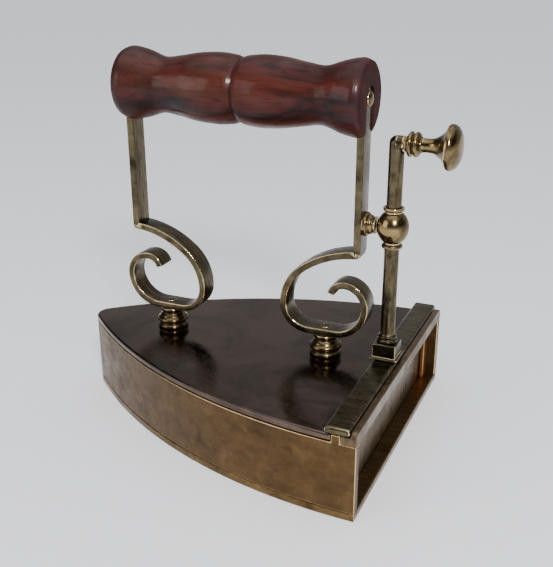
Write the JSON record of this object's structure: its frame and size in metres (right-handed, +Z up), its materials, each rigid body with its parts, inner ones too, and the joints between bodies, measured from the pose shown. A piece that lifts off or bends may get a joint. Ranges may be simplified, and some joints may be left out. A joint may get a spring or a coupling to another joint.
{
  "type": "clothes iron",
  "caption": "Antique brass box iron with a pointed sole, a lifting heel gate on a knobbed rod, scrolled stanchions and a turned wooden grip.",
  "frame": {"origin": "on the sole's flat face, under the middle of the grip", "axes": "+X to the nose, +Y to the iron's left, +Z up"},
  "size_m": [0.1568, 0.1174, 0.1492],
  "materials": {
    "wall_brass": "worn, mottled warm brown-gold",
    "plate_brass": "dark tarnish, polished enough to mirror the posts",
    "bar_brass": "olive tarnish with bright rubbed edges",
    "gate_brass": "dull grey-brown",
    "knob_brass": "handled and part polished",
    "cast_iron": "rough, heat scaled",
    "red_wood": "glossy red-brown varnish over long grain"
  },
  "bodies": {
    "iron_body": {"sole_plate": "wall_brass", "side_wall": "wall_brass", "top_plate": "plate_brass", "heel_lintel": "wall_brass", "left_gate_channel": "wall_brass", "right_gate_channel": "wall_brass", "guide_ball": "knob_brass", "guide_arm": "knob_brass", "rear_scroll": "bar_brass", "front_scroll": "bar_brass", "rear_post": "knob_brass", "front_post": "knob_brass", "rear_post_nut": "gate_brass", "front_post_nut": "gate_brass", "wooden_grip": "red_wood", "grip_tie_rod": "knob_brass"},
    "lift_gate": {"gate_plate": "gate_brass", "gate_cap": "bar_brass", "rod_foot": "bar_brass", "rod_collar": "bar_brass", "lift_rod": "bar_brass", "knob_collar": "knob_brass", "lift_knob": "knob_brass"},
    "slug": {"heating_slug": "cast_iron"}
  },
  "joints": [
    {"name": "gate_lift", "type": "slide", "parent": "iron_body", "child": "lift_gate", "axis": [0, 0, 1], "range_m": [0, 0.033]},
    {"name": "slug_play", "type": "slide", "parent": "iron_body", "child": "slug", "axis": [-1, 0, 0], "range_m": [0, 0.0025]}
  ]
}
